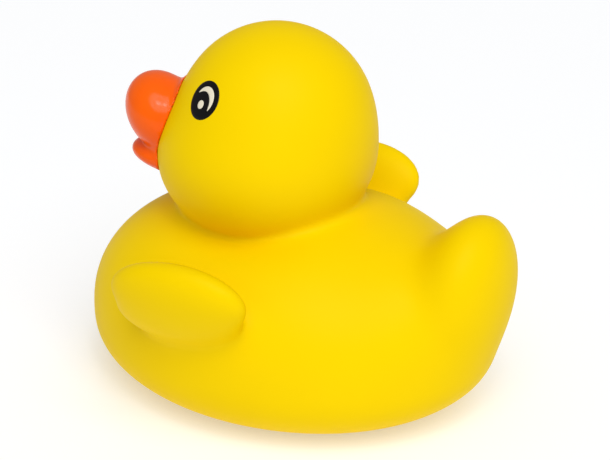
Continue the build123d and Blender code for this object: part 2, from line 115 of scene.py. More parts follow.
class DuckSkinSizes(bpy.types.PropertyGroup):
    """Sizes of the duck's skin, in the frame's own directions with the body's middle as centre."""
    half_width: length("Half Width", "Body half width at the waist", 102)
    half_length: length("Half Length", "Body half length at the waist", 127.8)
    waist: length("Waist", "Height of the body's widest line", 42.2)
    rise: length("Rise", "Waist to the top of the back", 79.3)
    drop: length("Drop", "Waist to the belly's lowest point if it weren't cut flat", 50.2)
    back_power: number("Back Power", "Squareness of the back's outline", 2.23)
    belly_power: number("Belly Power", "Squareness of the belly's outline", 2.42)
    base_edge: length("Base Edge", "Softness of the edge round the flat base", 12)
    wall: length("Wall", "Thickness of the vinyl", 2.8)
    head_centre: place("Head Centre", "Centre of the head", (0, -8.7, 164.3))
    head_radius: length("Head Radius", "Radius of the skull", 58.3)
    head_turn: angle("Head Turn", "How far the face is turned to the duck's left", 18)
    cheek_offset: place("Cheek Offset", "Cheeks' centre from the head's, along the face", (0, -6.3, -20.0))
    cheek_radii: place("Cheek Radii", "Half sizes of the cheeks", (66.0, 63.9, 50.5))
    cheek_blend: length("Cheek Blend", "Softness between skull and cheeks", 18)
    neck_blend: length("Neck Blend", "Softness of the crease round the neck", 14)
    neck_dip: length("Neck Dip", "How far the shoulders sink beside the neck", 9)
    neck_reach: length("Neck Reach", "How far from the head the shoulders sink", 34)
    tail_centre: place("Tail Centre", "Centre of the tail lobe", (0, 118.8, 90.5))
    tail_radii: place("Tail Radii", "Half sizes of the tail lobe", (36.7, 21.7, 37.5))
    tail_turn: turn("Tail Turn", "Lean of the tail lobe", (-5.2, 0, 0))
    tail_blend: length("Tail Blend", "Softness between tail and body", 53)
    wing_centre: place("Wing Centre", "Centre of the left wing's upper lobe", (108.1, -8.6, 94.2))
    wing_radii: place("Wing Radii", "Half sizes of the wing's upper lobe", (12.8, 42.8, 24.0))
    wing_turn: turn("Wing Turn", "Lean of the wing", (5.2, 23.0, 2.3))
    underwing_centre: place("Underwing Centre", "Centre of the left wing's lower lobe", (102.0, -13.0, 82.0))
    underwing_radii: place("Underwing Radii", "Half sizes of the wing's lower lobe", (12.5, 40.0, 20.0))
    wing_blend: length("Wing Blend", "Softness between the wing's lobes", 8)
    underwing_blend: length("Underwing Blend", "Softness between wing and body", 16)
    recess_radius: length("Recess Radius", "Radius of the round recess in the base", 58.5)
    lip_hole: length("Lip Hole", "Radius of the hole in the vinyl lip", 46.8)
    spigot_hole: length("Spigot Hole", "Radius of the hole for the beak's spigot", 8.1)
    spigot_drop: length("Spigot Drop", "Spigot below the head's centre", 12.5)
    cell: length("Cell", "Grid cell of the skin's field", 2.25)


class BeakSizes(bpy.types.PropertyGroup):
    """Sizes of the beak, measured from the head's centre along the face."""
    bill_centre: place("Bill Centre", "Centre of the upper bill's root", (0, -40.4, 8.5))
    bill_radii: place("Bill Radii", "Half sizes of the upper bill's root", (33.9, 19.0, 22.6))
    flare_centre: place("Flare Centre", "Centre of the upper bill's upturned front", (0, -68.3, 1.1))
    flare_radii: place("Flare Radii", "Half sizes of the upturned front", (26.0, 20.0, 26.2))
    flare_turn: turn("Flare Turn", "Lean of the upturned front", (34.4, 0, 0))
    flare_blend: length("Flare Blend", "Softness between root and front", 12)
    lower_centre: place("Lower Bill Centre", "Centre of the lower bill", (0, -53.7, -24.5))
    lower_radii: place("Lower Bill Radii", "Half sizes of the lower bill", (26.5, 34.5, 10.0))
    lower_turn: turn("Lower Bill Turn", "Lean of the lower bill", (-7.8, 0, 0))
    mouth_blend: length("Mouth Blend", "Softness between the bills at the front", 2)
    corner_blend: length("Corner Blend", "Extra softness between the bills at the face", 16)
    corner_reach: length("Corner Reach", "How far from the face the bills flow together", 12)
    seat_gap: length("Seat Gap", "Clearance between beak and face", 0.1)
    spigot_radius: length("Spigot Radius", "Radius of the spigot behind the face", 8)
    spigot_inner: length("Spigot Reach", "Head's axis to the spigot's inner end", 40)
    vent_radius: length("Vent Radius", "Radius of the vent through the mouth", 2)
    cell: length("Cell", "Grid cell of the beak's field", 1.0)


class EyeSizes(bpy.types.PropertyGroup):
    """Sizes of the printed eyes, on the head."""
    azimuth: angle("Azimuth", "Eye's direction from straight ahead", 53.6)
    elevation: angle("Elevation", "Eye's height seen from the head's centre", 24.4)
    half_width: length("Half Width", "Half width of the black oval", 10.7)
    half_height: length("Half Height", "Half height of the black oval", 11.5)
    lean: angle("Lean", "How far the oval's top leans back", 8)
    lift: length("Lift", "Height of the ink above the skin", 0.12)
    glint_lift: number("Glint Lift", "Height of the pale print, as a share of the ink's", 1.6)
    glint_width: number("Glint Width", "Crescent's outer half width, as a share of the oval's", 0.67)
    glint_height: number("Glint Height", "Crescent's outer half height, as a share of the oval's", 0.7)
    glint_depth: number("Glint Depth", "Crescent's thickness, as a share of the oval's half width", 0.34)
    glint_start: angle("Glint Start", "Where the crescent starts, from the eye's back upwards", 165)
    glint_end: angle("Glint End", "Where the crescent ends, from the eye's back upwards", -35)
    dot_size: number("Dot Size", "Half size of the round glint, as a share of the oval's", 0.22)
    dot_forward: number("Dot Forward", "Round glint in front of the oval's middle, as a share", 0.08)
    dot_down: number("Dot Down", "Round glint below the oval's middle, as a share", 0.27)


class FinishColours(bpy.types.PropertyGroup):
    """Colours of the dispenser's materials."""
    vinyl: colour("Vinyl", "Duck yellow", (0.90, 0.635, 0.0))
    vinyl_deep: colour("Vinyl Deep", "Slightly deeper yellow of the mottling", (0.88, 0.60, 0.0))
    beak: colour("Beak", "Beak orange", (0.95, 0.125, 0.0))
    beak_deep: colour("Beak Deep", "Deeper orange of the mottling", (0.9, 0.105, 0.0))
    ink: colour("Ink", "Black of the eyes", (0.006, 0.005, 0.006))
    cream: colour("Cream", "Pale glints of the eyes", (0.82, 0.75, 0.58))
    white: colour("White", "Well, basket and clamp ring", (0.80, 0.81, 0.79))
    white_deep: colour("White Deep", "Deeper tone of the white", (0.74, 0.76, 0.75))
    cap: colour("Cap", "Cap blue", (0.03, 0.16, 0.38))
    cap_deep: colour("Cap Deep", "Deeper tone of the cap", (0.025, 0.14, 0.34))
    dial: colour("Dial", "Dial blue", (0.20, 0.45, 0.62))
    dial_deep: colour("Dial Deep", "Deeper tone of the dial", (0.18, 0.41, 0.58))
    hose: colour("Hose", "Vent hose", (0.52, 0.53, 0.52))
    hose_deep: colour("Hose Deep", "Deeper tone of the hose", (0.47, 0.48, 0.48))
    gasket: colour("Gasket", "Black rubber gasket", (0.02, 0.02, 0.02))
    gasket_deep: colour("Gasket Deep", "Second tone of the gasket", (0.03, 0.03, 0.03))
    steel: colour("Steel", "Screws, washer, nut and clips", (0.60, 0.60, 0.58))
    steel_deep: colour("Steel Deep", "Deeper tone of the steel", (0.54, 0.54, 0.53))
    iron: colour("Iron", "Coated ballast", (0.05, 0.055, 0.06))
    iron_deep: colour("Iron Deep", "Deeper tone of the ballast", (0.035, 0.04, 0.045))


class StageSizes(bpy.types.PropertyGroup):
    """Camera, floor and light."""
    azimuth: angle("Azimuth", "Camera's direction round the duck", 119.35)
    elevation: angle("Elevation", "Camera's height above the horizon", 22.84)
    distance: length("Distance", "Camera to target", 900)
    target: place("Target", "Point that the camera looks at", (-4.5, 1.1, 96.7))
    focal: number("Focal Length", "Camera's focal length in millimetres on a 36 mm frame", 88.5)
    floor_size: length("Floor Size", "Width of the floor", 12000)
    floor_colour: colour("Floor Colour", "Pale grey of the floor", (0.74, 0.74, 0.74))
    floor_glow_colour: colour("Floor Glow Colour", "Tint of the floor's own light", (0.95, 0.97, 1))
    floor_glow: number("Floor Glow", "Strength of the floor's own light", 0.34)
    room_light: number("Room Light", "Strength of the white light from all round", 0.38)
    key_power: number("Key Power", "Strength of the main light", 1.95)
    key_spread: angle("Key Spread", "Width of the main light, which softens its shadows", 50)
    key_right: number("Key Right", "Main light's lean to the camera's right", 0.2)
    key_up: number("Key Up", "Main light's lean upwards from the camera's direction", 0.85)
    glint_power: number("Glint Power", "Power of the small soft box, in watts", 1.5)
    glint_size: length("Glint Size", "Width of the small soft box", 200)
    glint_right: length("Glint Right", "Soft box to the camera's right of the target", 100)
    glint_back: length("Glint Back", "Soft box from the target towards the camera", 900)
    glint_up: length("Glint Up", "Soft box above that", 800)


# ------------------------------------------------------------------ fields in node trees

class Number:
    """A number inside a node tree, which ordinary arithmetic builds on."""
    node_type = "ShaderNodeMath"
    result = "Value"

    def __init__(self, tree, socket):
        self.tree = tree
        self.socket = socket

    def make(self, operation, *values, result=None):
        node = self.tree.nodes.new(self.node_type)
        node.operation = operation
        for socket, value in zip(node.inputs, (self, *values)):
            if isinstance(value, Number):
                self.tree.links.new(value.socket, socket)
            else:
                socket.default_value = value
        return node.outputs[result or self.result]

    def __add__(self, other):
        return type(self)(self.tree, self.make("ADD", other))

    def __sub__(self, other):
        return type(self)(self.tree, self.make("SUBTRACT", other))

    def __mul__(self, other):
        return type(self)(self.tree, self.make("MULTIPLY", other))

    def __truediv__(self, other):
        return type(self)(self.tree, self.make("DIVIDE", other))

    def __neg__(self):
        return self * -1

    def __pow__(self, other):
        return Number(self.tree, self.make("POWER", other))

    def __abs__(self):
        return Number(self.tree, self.make("ABSOLUTE"))

    def root(self):
        return Number(self.tree, self.make("SQRT"))

    def larger(self, other):
        return Number(self.tree, self.make("MAXIMUM", other))

    def smaller(self, other):
        return Number(self.tree, self.make("MINIMUM", other))

    def above(self, other):
        return Number(self.tree, self.make("GREATER_THAN", other))

    def join(self, other, softness):
        """Smooth union of two distances."""
        return Number(self.tree, self.make("SMOOTH_MIN", other, softness))

    def keep(self, other, softness):
        """Smooth overlap of two distances."""
        return Number(self.tree, self.make("SMOOTH_MAX", other, softness))

    def between(self, low, high):
        """This share of the way from low to high."""
        return low + (high - low) * self


class Place(Number):
    """A vector inside a node tree."""
    node_type = "ShaderNodeVectorMath"
    result = "Vector"

    def length(self):
        return Number(self.tree, self.make("LENGTH", result="Value"))

    def unit(self):
        return Place(self.tree, self.make("NORMALIZE"))

    def times(self, factor):
        node = self.tree.nodes.new(self.node_type)
        node.operation = "SCALE"
        self.tree.links.new(self.socket, node.inputs["Vector"])
        self.tree.links.new(factor.socket, node.inputs["Scale"])
        return Place(self.tree, node.outputs["Vector"])

    def turned_back(self, euler):
        """Undo a turn given as XYZ angles."""
        node = self.tree.nodes.new("ShaderNodeVectorRotate")
        node.rotation_type = "EULER_XYZ"
        node.invert = True
        self.tree.links.new(self.socket, node.inputs["Vector"])
        self.tree.links.new(euler.socket, node.inputs["Rotation"])
        return Place(self.tree, node.outputs["Vector"])

    def turned_about_z(self, radians):
        node = self.tree.nodes.new("ShaderNodeVectorRotate")
        node.rotation_type = "Z_AXIS"
        self.tree.links.new(self.socket, node.inputs["Vector"])
        self.tree.links.new(radians.socket, node.inputs["Angle"])
        return Place(self.tree, node.outputs["Vector"])

    def split(self):
        node = self.tree.nodes.new("ShaderNodeSeparateXYZ")
        self.tree.links.new(self.socket, node.inputs[0])
        return [Number(self.tree, socket) for socket in node.outputs]


def combine(tree, *parts):
    """A vector from three numbers or fields."""
    node = tree.nodes.new("ShaderNodeCombineXYZ")
    for socket, part in zip(node.inputs, parts):
        if isinstance(part, Number):
            tree.links.new(part.socket, socket)
        else:
            socket.default_value = part
    return Place(tree, node.outputs[0])


SOCKETS = {Number: "NodeSocketFloat", Place: "NodeSocketVector"}


def new_group(name, inputs, outputs):
    """A geometry node group with named sockets, and its inputs as fields."""
    tree = bpy.data.node_groups.new(name, "GeometryNodeTree")
    for label, kind in inputs.items():
        tree.interface.new_socket(label, in_out="INPUT", socket_type=SOCKETS[kind])
    for label, kind in outputs.items():
        tree.interface.new_socket(label, in_out="OUTPUT", socket_type=SOCKETS[kind])
    start = tree.nodes.new("NodeGroupInput")
    fields = {label: kind(tree, start.outputs[label]) for label, kind in inputs.items()}
    return tree, fields


def give(tree, **results):
    """Connect the results to the group's outputs."""
    end = tree.nodes.new("NodeGroupOutput")
    for label, field in results.items():
        tree.links.new(field.socket, end.inputs[label])


def call(tree, group, output, kind, **values):
    """Use a group inside another tree and return one of its outputs."""
    node = tree.nodes.new("GeometryNodeGroup")
    node.node_tree = group
    for label, value in values.items():
        if isinstance(value, Number):
            tree.links.new(value.socket, node.inputs[label])
        else:
            node.inputs[label].default_value = value
    return kind(tree, node.outputs[output])


def built_once(name):
    """Mark a function that builds a node group, so that a second call gives the same group."""
    def mark(build):
        def group():
            return bpy.data.node_groups.get(name) or build(name)
        return group
    return mark


@built_once("ellipsoid_distance")
def ellipsoid_group(name):
    """Distance to a turned ellipsoid."""
    tree, f = new_group(name, {"place": Place, "centre": Place, "radii": Place, "turn": Place},
                        {"distance": Number})
    local = (f["place"] - f["centre"]).turned_back(f["turn"])
    near = (local / f["radii"]).length()
    steep = (local / (f["radii"] * f["radii"])).length()
    give(tree, distance=near * (near - 1) / steep.larger(1e-6))
    return tree


BODY_NUMBERS = ("half_width", "half_length", "waist", "rise", "drop", "back_power", "belly_power",
                "base_edge")
HEAD_NUMBERS = ("head_radius", "head_turn", "cheek_blend")
HEAD_PLACES = ("head_centre", "cheek_offset", "cheek_radii")
SKIN_NUMBERS = (*BODY_NUMBERS, *HEAD_NUMBERS, "wall", "neck_blend", "neck_dip", "neck_reach", "tail_blend",
                "wing_blend", "underwing_blend", "recess_radius", "lip_hole", "spigot_hole", "spigot_drop")
SKIN_PLACES = (*HEAD_PLACES, "tail_centre", "tail_radii", "tail_turn", "wing_centre", "wing_radii",
               "wing_turn", "underwing_centre", "underwing_radii")
BEAK_NUMBERS = ("flare_blend", "mouth_blend", "corner_blend", "corner_reach", "seat_gap", "spigot_radius",
                "spigot_inner", "vent_radius")
BEAK_PLACES = ("bill_centre", "bill_radii", "flare_centre", "flare_radii", "flare_turn", "lower_centre",
               "lower_radii", "lower_turn")
FACE_NUMBERS = (*HEAD_NUMBERS, "spigot_drop")       # what the beak needs to know of the skin


def kinds(numbers, places):
    """Named inputs with their kinds of field."""
    return {**{name: Number for name in numbers}, **{name: Place for name in places}}


@built_once("body_distance")
def rounded_body_group(name):
    """Distance to an egg-like body whose back and belly have their own squareness, cut flat below."""
    tree, f = new_group(name, {"place": Place, **kinds(BODY_NUMBERS, ())}, {"distance": Number})
    x, y, z = f["place"].split()
    upper = z.above(f["waist"])
    reach = upper.between(f["drop"], f["rise"])
    power = upper.between(f["belly_power"], f["back_power"])
    x_share = x / f["half_width"]
    y_share = y / f["half_length"]
    round_share = (x_share * x_share + y_share * y_share).root().larger(1e-4)
    high_share = (abs(z - f["waist"]) / reach).larger(1e-4)
    level = (round_share ** power + high_share ** power) ** (power ** -1)
    round_slope = (round_share / level) ** (power - 1)
    high_slope = (high_share / level) ** (power - 1) / reach
    x_slope = x_share / f["half_width"] / round_share
    y_slope = y_share / f["half_length"] / round_share
    flat_slope = round_slope * round_slope * (x_slope * x_slope + y_slope * y_slope)
    steepness = (flat_slope + high_slope * high_slope).root().larger(1e-3)
    distance = (level - 1) / steepness
    give(tree, distance=distance.keep(-z, f["base_edge"]))
    return tree


def cylinder(x, y, height, radius):
    """Distance to a round rod that ends at a height of 0 along its own axis."""
    return ((x * x + y * y).root() - radius).larger(height)


def lobe(tree, spot, f, centre, radii, turn=None):
    """Distance to one ellipsoid whose sizes are among the group's inputs."""
    lean = {"turn": f[turn]} if turn else {}
    return call(tree, ellipsoid_group(), "distance", Number, place=spot, centre=f[centre],
                radii=f[radii], **lean)


def head_field(tree, f):
    """Distance to the head, and the place seen from it, inside another group."""
    skull = call(tree, head_group(), "distance", Number, place=f["place"],
                 **{name: f[name] for name in HEAD_NUMBERS + HEAD_PLACES})
    return skull, Place(tree, skull.socket.node.outputs["face_place"])


@built_once("head_distance")
def head_group(name):
    """Distance to the head, and the place seen from the head with the face along -Y."""
    tree, f = new_group(name, {"place": Place, **kinds(HEAD_NUMBERS, HEAD_PLACES)},
                        {"distance": Number, "face_place": Place})
    local = (f["place"] - f["head_centre"]).turned_about_z(-f["head_turn"])
    skull = local.length() - f["head_radius"]
    cheeks = lobe(tree, local, f, "cheek_offset", "cheek_radii")
    give(tree, distance=skull.join(cheeks, f["cheek_blend"]), face_place=local)
    return tree


@built_once("skin_distance")
def duck_group(name):
    """Distance to the hollow duck, with its recess, lip and spigot hole."""
    tree, f = new_group(name, {"place": Place, **kinds(SKIN_NUMBERS, SKIN_PLACES)}, {"distance": Number})
    x, y, z = f["place"].split()
    body = call(tree, rounded_body_group(), "distance", Number, place=f["place"],
                **{name: f[name] for name in BODY_NUMBERS})
    tail = lobe(tree, f["place"], f, "tail_centre", "tail_radii", "tail_turn")
    both_sides = combine(tree, abs(x), y, z)
    wing = lobe(tree, both_sides, f, "wing_centre", "wing_radii", "wing_turn")
    underwing = lobe(tree, both_sides, f, "underwing_centre", "underwing_radii", "wing_turn")
    skull, face = head_field(tree, f)

    beside, behind, _ = (f["place"] - f["head_centre"]).split()
    side = beside * beside / (beside * beside + behind * behind).larger(1e-9)
    near = (-skull / f["neck_reach"] + 1).larger(0).smaller(1)
    shoulders = body + side * side * near * near * f["neck_dip"]
    trunk = shoulders.join(tail, f["tail_blend"])
    winged = trunk.join(underwing, f["underwing_blend"]).join(wing, f["wing_blend"])
    outside = winged.join(skull, f["neck_blend"])

    pocket = cylinder(x, y, z - LIP_TOP, f["recess_radius"] + f["wall"])
    inside = (trunk.join(skull, f["neck_blend"]) + f["wall"]).larger(-pocket)
    recess = cylinder(x, y, z - LIP_UNDER, f["recess_radius"])
    mouth = cylinder(x, y, z - LIP_TOP, f["lip_hole"])
    shell = outside.larger(-inside).larger(-recess).larger(-mouth)
    face_x, face_y, face_z = face.split()
    spigot = cylinder(face_x, face_z + f["spigot_drop"], face_y, f["spigot_hole"])
    give(tree, distance=shell.larger(-spigot))
    return tree


@built_once("beak_distance")
def beak_group(name):
    """Distance to the beak: two bills, the seat cut by the face, and the hollow spigot."""
    inputs = kinds(FACE_NUMBERS + BEAK_NUMBERS, HEAD_PLACES + BEAK_PLACES)
    tree, f = new_group(name, {"place": Place, **inputs}, {"distance": Number})
    skull, face = head_field(tree, f)
    root = lobe(tree, face, f, "bill_centre", "bill_radii")
    flare = lobe(tree, face, f, "flare_centre", "flare_radii", "flare_turn")
    lower = lobe(tree, face, f, "lower_centre", "lower_radii", "lower_turn")
    corner = (-skull / f["corner_reach"] + 1).larger(0).smaller(1)
    softness = corner * corner * f["corner_blend"] + f["mouth_blend"]
    bills = root.join(flare, f["flare_blend"]).join(lower, softness)
    seated = bills.larger(-(skull - f["seat_gap"]))

    x, y, z = face.split()
    across = z + f["spigot_drop"]
    spigot_end = (y + f["spigot_inner"]).larger(-(y + f["head_radius"]))
    spigot = cylinder(x, across, spigot_end, f["spigot_radius"])
    vent = cylinder(x, across, y, f["vent_radius"])
    give(tree, distance=seated.smaller(spigot).larger(-vent))
    return tree


def solid_tree(name, distance, inputs):
    """Geometry nodes that turn a distance group into a closed mesh inside a box of cells.

    A thin wall is meshed thicker than it is, so that no cell misses it, and settles at its true place.
    """
    tree = bpy.data.node_groups.new(name, "GeometryNodeTree")
    face = tree.interface
    for label, kind in inputs.items():
        face.new_socket(label, in_out="INPUT", socket_type=SOCKETS[kind])
    for label in ("low corner", "high corner", "body centre"):
        face.new_socket(label, in_out="INPUT", socket_type="NodeSocketVector")
    for label in ("cells x", "cells y", "cells z"):
        face.new_socket(label, in_out="INPUT", socket_type="NodeSocketInt")
    face.new_socket("cell", in_out="INPUT", socket_type="NodeSocketFloat")
    face.new_socket("material", in_out="INPUT", socket_type="NodeSocketMaterial")
    face.new_socket("mesh", in_out="OUTPUT", socket_type="NodeSocketGeometry")
    start = tree.nodes.new("NodeGroupInput")
    cell = Number(tree, start.outputs["cell"])
    centre = Place(tree, start.outputs["body centre"])
    here = Place(tree, tree.nodes.new("GeometryNodeInputPosition").outputs[0]) - centre
    sizes = {label: kind(tree, start.outputs[label]) for label, kind in inputs.items()}

    def measured(spot, **changed):
        return call(tree, distance, "distance", Number, place=spot, **{**sizes, **changed})

    thick = {"wall": sizes["wall"] * MESHED_WALL} if "wall" in sizes else {}
    cube = tree.nodes.new("GeometryNodeVolumeCube")
    tree.links.new((-measured(here, **thick) / cell).socket, cube.inputs["Density"])
    cube.inputs["Background"].default_value = -1
    for corner, label in (("Min", "low corner"), ("Max", "high corner")):
        tree.links.new(start.outputs[label], cube.inputs[corner])
    for axis in "XYZ":
        tree.links.new(start.outputs["cells " + axis.lower()], cube.inputs["Resolution " + axis])
    mesher = tree.nodes.new("GeometryNodeVolumeToMesh")
    mesher.inputs["Threshold"].default_value = 0
    tree.links.new(cube.outputs["Volume"], mesher.inputs["Volume"])
    shape = mesher.outputs["Mesh"]
    for _ in range(SETTLE_STEPS):
        gap = measured(here)
        step = cell * PROBE_SHARE
        slopes = []
        for axis in range(3):
            nudge = combine(tree, *(step if axis == other else 0.0 for other in range(3)))
            slopes.append((measured(here + nudge) - measured(here - nudge)) / (step * 2))
        slope = combine(tree, *slopes)
        move = tree.nodes.new("GeometryNodeSetPosition")
        tree.links.new(shape, move.inputs["Geometry"])
        shift = gap.smaller(cell).larger(-cell) * -SETTLE_SHARE
        tree.links.new(slope.unit().times(shift).socket, move.inputs["Offset"])
        shape = move.outputs["Geometry"]
    smooth = tree.nodes.new("GeometryNodeSetShadeSmooth")
    tree.links.new(shape, smooth.inputs["Geometry"])
    real = tree.nodes.new("GeometryNodeRealizeInstances")
    tree.links.new(smooth.outputs["Geometry"], real.inputs["Geometry"])
    paint = tree.nodes.new("GeometryNodeSetMaterial")
    tree.links.new(real.outputs["Geometry"], paint.inputs["Geometry"])
    tree.links.new(start.outputs["material"], paint.inputs["Material"])
    end = tree.nodes.new("NodeGroupOutput")
    tree.links.new(paint.outputs["Geometry"], end.inputs["mesh"])
    return tree


def grown(name, tree, values, material):
    """Run a tree on an empty mesh and keep the result as a plain object."""
    holder = bpy.data.objects.new(name, bpy.data.meshes.new(name + "_start"))
    bpy.context.scene.collection.objects.link(holder)
    modifier = holder.modifiers.new("shape", "NODES")
    modifier.node_group = tree
    for item in tree.interface.items_tree:
        if item.in_out != "INPUT":
            continue
        if item.name == "material":
            modifier[item.identifier] = material
        elif item.name in values:
            modifier[item.identifier] = values[item.name]
    holder.update_tag()
    bpy.context.view_layer.update()
    solid = holder.evaluated_get(bpy.context.evaluated_depsgraph_get())
    mesh = bpy.data.meshes.new_from_object(solid)
    holder.modifiers.remove(modifier)
    holder.data = mesh
    mesh.name = name
    return holder


def input_values(group, names):
    """A property group's sizes in the form that a modifier takes."""
    values = {name: getattr(group, name) for name in names}
    return {name: value if isinstance(value, float) else tuple(value) for name, value in values.items()}


def box_cells(low, high, cell):
    """Corners and cell counts of a grid that covers a box."""
    margin = GRID_MARGIN * cell
    low = Vector(low) - Vector((margin, margin, margin))
    counts = [math.ceil((top + margin - bottom) / cell) for top, bottom in zip(high, low)]
    high = low + Vector([count * cell for count in counts])
    return {"low corner": tuple(low), "high corner": tuple(high), "cell": cell,
            "cells x": counts[0] + 1, "cells y": counts[1] + 1, "cells z": counts[2] + 1}


# ------------------------------------------------------------------ materials

def new_material(name):
    """A material with its node tree and its shader."""
    material = bpy.data.materials.new(name)
    material.use_nodes = True
    shader = material.node_tree.nodes["Principled BSDF"]
    return material, material.node_tree, shader


@built_once("moulded_surface")
def mottle_group(name):
    """Soft colour mottling and a fine moulded grain, on object coordinates."""
    tree = bpy.data.node_groups.new(name, "ShaderNodeTree")
    face = tree.interface
    for label in ("Mottle Size", "Grain Size", "Rough Low", "Rough High"):
        face.new_socket(label, in_out="INPUT", socket_type="NodeSocketFloat")
    for label in ("Colour A", "Colour B"):
        face.new_socket(label, in_out="INPUT", socket_type="NodeSocketColor")
    face.new_socket("Colour", in_out="OUTPUT", socket_type="NodeSocketColor")
    face.new_socket("Roughness", in_out="OUTPUT", socket_type="NodeSocketFloat")
    face.new_socket("Grain", in_out="OUTPUT", socket_type="NodeSocketFloat")
    start = tree.nodes.new("NodeGroupInput")
    end = tree.nodes.new("NodeGroupOutput")
    spot = tree.nodes.new("ShaderNodeTexCoord")
    clouds = tree.nodes.new("ShaderNodeTexNoise")
    clouds.inputs["Detail"].default_value = 3
    grain = tree.nodes.new("ShaderNodeTexNoise")
    grain.inputs["Detail"].default_value = 2
    for noise, size in ((clouds, "Mottle Size"), (grain, "Grain Size")):
        tree.links.new(spot.outputs["Object"], noise.inputs["Vector"])
        tree.links.new(start.outputs[size], noise.inputs["Scale"])
    blend = tree.nodes.new("ShaderNodeMix")
    blend.data_type = "RGBA"
    tree.links.new(clouds.outputs["Fac"], blend.inputs["Factor"])
    tree.links.new(start.outputs["Colour A"], blend.inputs[6])
    tree.links.new(start.outputs["Colour B"], blend.inputs[7])
    tree.links.new(blend.outputs[2], end.inputs["Colour"])
    spread = tree.nodes.new("ShaderNodeMapRange")
    tree.links.new(clouds.outputs["Fac"], spread.inputs["Value"])
    tree.links.new(start.outputs["Rough Low"], spread.inputs["To Min"])
    tree.links.new(start.outputs["Rough High"], spread.inputs["To Max"])
    tree.links.new(spread.outputs["Result"], end.inputs["Roughness"])
    tree.links.new(grain.outputs["Fac"], end.inputs["Grain"])
    return tree


def moulded(name, first, second, rough, mottle=40.0, grain=900.0, bump=0.02, coat=0.0, metallic=0.0):
    """A moulded or cast finish with its own colours, roughness range and grain.

    Without a second colour, the first one is plain.
    """
    material, tree, shader = new_material(name)
    surface = tree.nodes.new("ShaderNodeGroup")
    surface.node_tree = mottle_group()
    surface.inputs["Mottle Size"].default_value = mottle
    surface.inputs["Grain Size"].default_value = grain
    surface.inputs["Rough Low"].default_value = rough[0]
    surface.inputs["Rough High"].default_value = rough[1]
    if second is None:
        shader.inputs["Base Color"].default_value = first
    else:
        surface.inputs["Colour A"].default_value = first
        surface.inputs["Colour B"].default_value = second
        tree.links.new(surface.outputs["Colour"], shader.inputs["Base Color"])
    tree.links.new(surface.outputs["Roughness"], shader.inputs["Roughness"])
    relief = tree.nodes.new("ShaderNodeBump")
    relief.inputs["Strength"].default_value = 1.0
    relief.inputs["Distance"].default_value = bump * MILLIMETRE
    tree.links.new(surface.outputs["Grain"], relief.inputs["Height"])
    tree.links.new(relief.outputs["Normal"], shader.inputs["Normal"])
    shader.inputs["Coat Weight"].default_value = coat
    shader.inputs["Metallic"].default_value = metallic
    return material, shader


def vinyl_material():
    """The duck's soft satin vinyl."""
    colours = bpy.context.scene.duck_colours
    material, shader = moulded("duck_vinyl", colours.vinyl, colours.vinyl_deep, (0.42, 0.5),
                               mottle=18, bump=0.015)
    shader.inputs["Specular IOR Level"].default_value = 0.03
    return material


def beak_material():
    """The beak's glossy lacquer."""
    colours = bpy.context.scene.duck_colours
    material, shader = moulded("beak_gloss", colours.beak, colours.beak_deep, (0.3, 0.38),
                               mottle=60, bump=0.008, coat=0.45)
    shader.inputs["Specular IOR Level"].default_value = 0.05
    shader.inputs["Coat Roughness"].default_value = 0.13
    shader.inputs["Coat IOR"].default_value = 1.35
    return material


# Material slot: the material's name, its colour among the finishes, and how it differs from the plain one.
FITTING_FINISHES = {
    "white_plastic": ("white_fittings", "white", {"rough": (0.42, 0.55)}),
    "blue_plastic": ("cap_blue", "cap", {"rough": (0.4, 0.52)}),
    "pale_blue_plastic": ("dial_blue", "dial", {"rough": (0.4, 0.5)}),
    "hose_rubber": ("hose", "hose", {"rough": (0.5, 0.6)}),
    "gasket_rubber": ("gasket", "gasket", {"rough": (0.6, 0.75)}),
    "stainless": ("stainless", "steel",
                  {"rough": (0.22, 0.36), "mottle": 300, "grain": 2500, "bump": 0.01, "metallic": 1.0}),
    "coated_iron": ("coated_iron", "iron", {"rough": (0.35, 0.6), "mottle": 120, "grain": 500, "bump": 0.15}),
}


# ------------------------------------------------------------------ pieces

class DUCK_OT_build_skin(bpy.types.Operator):
    """Build the duck's hollow vinyl skin"""
    bl_idname = "duck_dispenser.build_skin"
    bl_label = "Build Skin"

    def execute(self, context):
        sizes = context.scene.duck_skin
        tree = solid_tree("duck_skin_shape", duck_group(), kinds(SKIN_NUMBERS, SKIN_PLACES))
        values = {"body centre": (0.0, WELL_Y, 0.0), **input_values(sizes, SKIN_NUMBERS + SKIN_PLACES),
                  **box_cells(SHELL_LOW, SHELL_HIGH, sizes.cell)}
        skin = grown("duck_skin", tree, values, vinyl_material())
        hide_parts("duck_shell")
        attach(skin, BODY)
        return {"FINISHED"}


class DUCK_OT_build_beak(bpy.types.Operator):
    """Build the glossy beak on the face"""
    bl_idname = "duck_dispenser.build_beak"
    bl_label = "Build Beak"

    def execute(self, context):
        skin = context.scene.duck_skin
        sizes = context.scene.duck_beak
        tree = solid_tree("beak_shape", beak_group(),
                          kinds(FACE_NUMBERS + BEAK_NUMBERS, HEAD_PLACES + BEAK_PLACES))
        room = Vector((BEAK_ROOM, BEAK_ROOM, BEAK_ROOM))
        values = {"body centre": (0.0, WELL_Y, 0.0), **input_values(skin, FACE_NUMBERS + HEAD_PLACES),
                  **input_values(sizes, BEAK_NUMBERS + BEAK_PLACES),
                  **box_cells(BEAK_LOW - room, BEAK_HIGH + room, sizes.cell)}
        beak = grown("duck_beak", tree, values, beak_material())
        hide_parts("beak")
        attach(beak, BODY)
        return {"FINISHED"}


